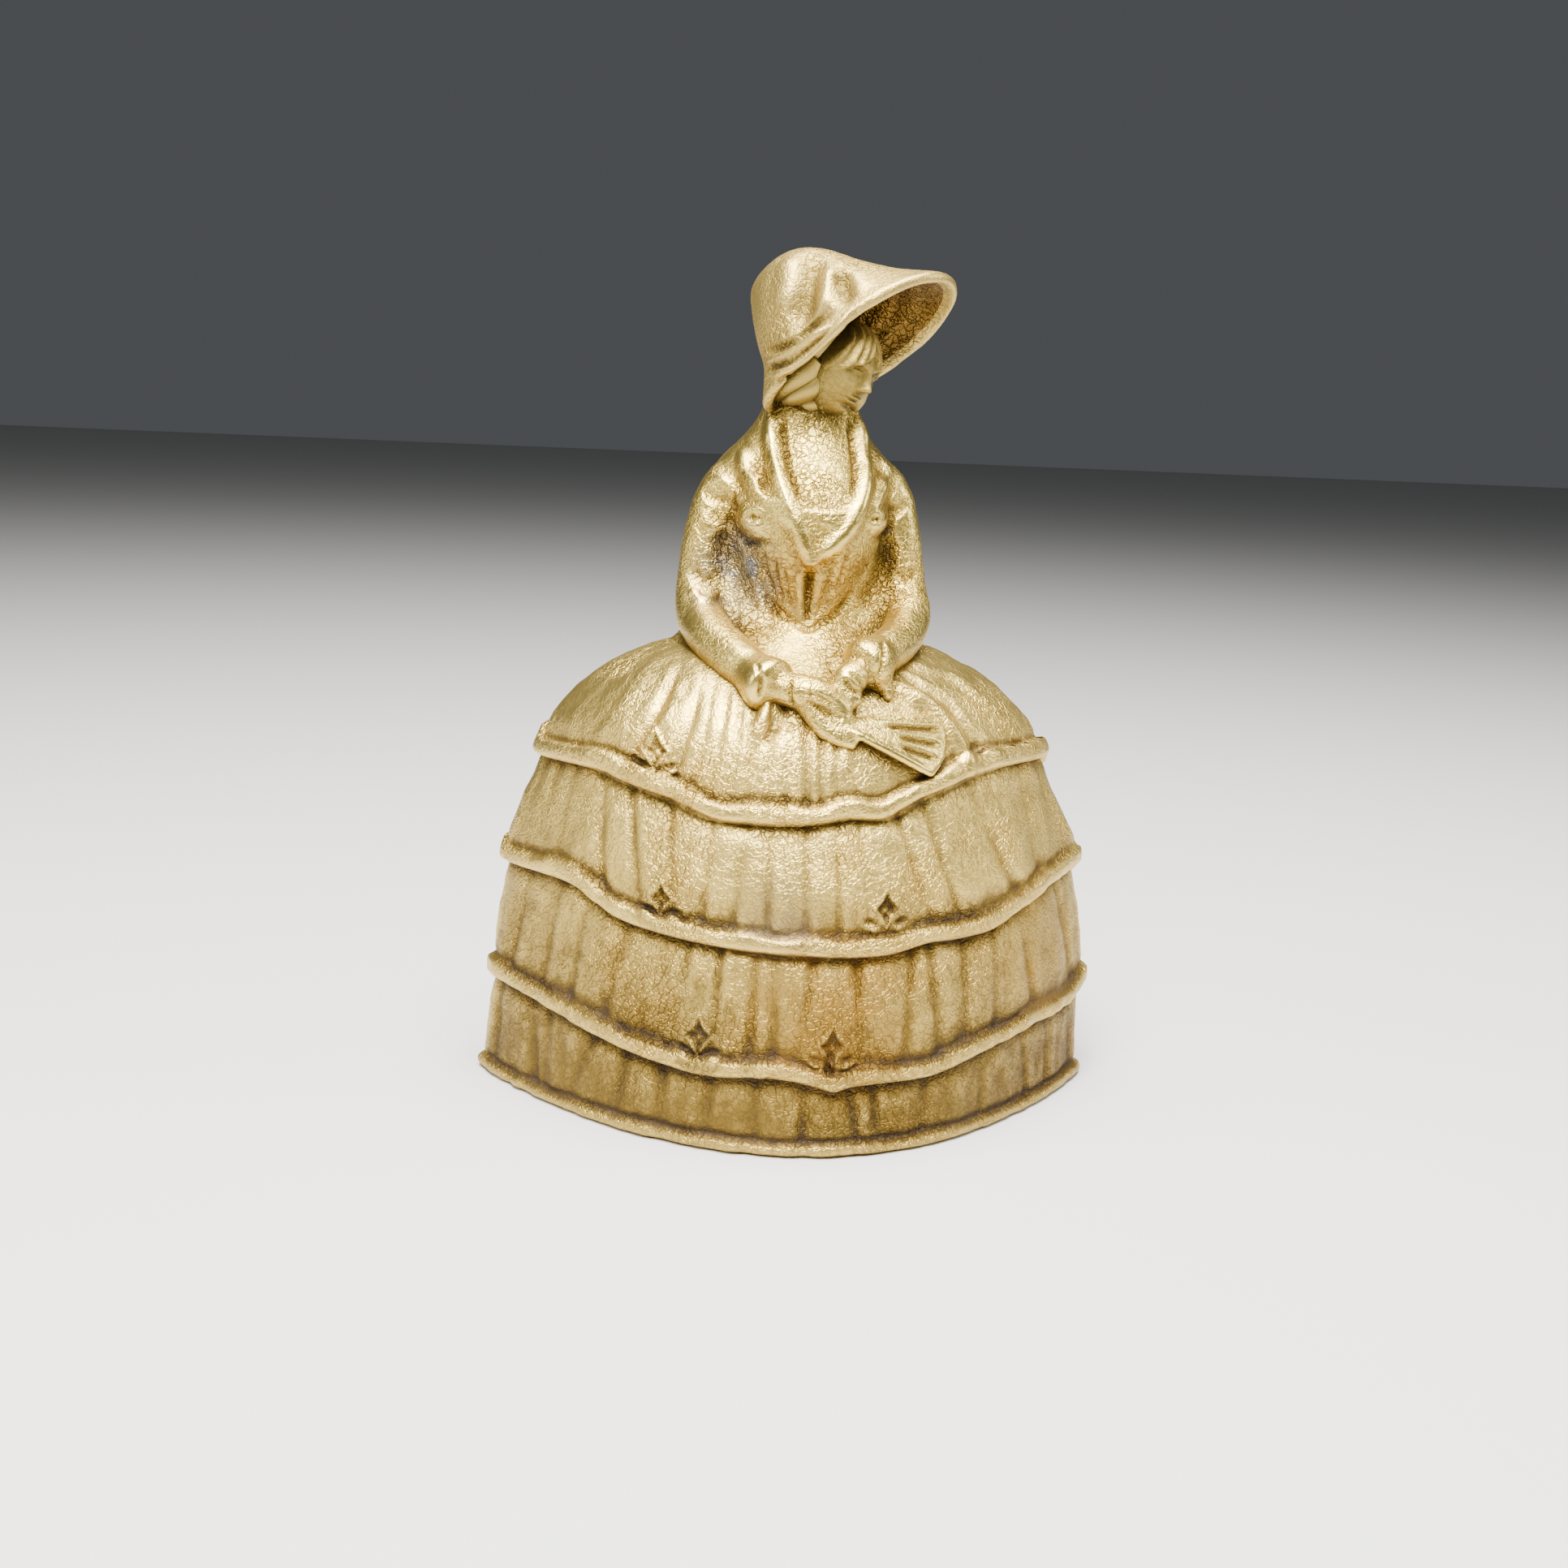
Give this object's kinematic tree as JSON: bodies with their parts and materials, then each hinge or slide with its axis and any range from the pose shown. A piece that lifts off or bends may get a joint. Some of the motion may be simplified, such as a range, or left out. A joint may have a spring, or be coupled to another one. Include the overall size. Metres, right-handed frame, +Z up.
{
  "type": "figural handbell",
  "caption": "Cast brass table handbell shaped as a lady in a flounced crinoline gown and poke bonnet, with a swinging clapper hung inside the skirt.",
  "frame": {"origin": "centre of the bell's mouth on the plane of its rim", "axes": "+Z up through the figure, -Y the way the lady's front faces, +X to the right of a person who faces her"},
  "size_m": [0.0759, 0.0586, 0.0993],
  "materials": {
    "cast_brass": "sand cast, rubbed bright on the high places with brown patina in the hollows",
    "iron_wire": "drawn wire, browned with age",
    "turned_brass": "turned, dulled with age"
  },
  "bodies": {
    "bell": {"bell_casting": "cast_brass", "crown_staple": "iron_wire"},
    "link": {"hanger_link": "iron_wire"},
    "clapper": {"clapper_rod": "iron_wire", "clapper_bob": "turned_brass", "bob_washer": "turned_brass"}
  },
  "joints": [
    {"name": "link_swing", "type": "hinge", "parent": "bell", "child": "link", "pos_m": [0, 0, 0.0436], "axis": [1, 0, 0], "range_deg": [-33, 33]},
    {"name": "clapper_swing", "type": "hinge", "parent": "link", "child": "clapper", "pos_m": [0, 0, 0.0384], "axis": [0, 1, 0], "range_deg": [-24, 24]}
  ]
}
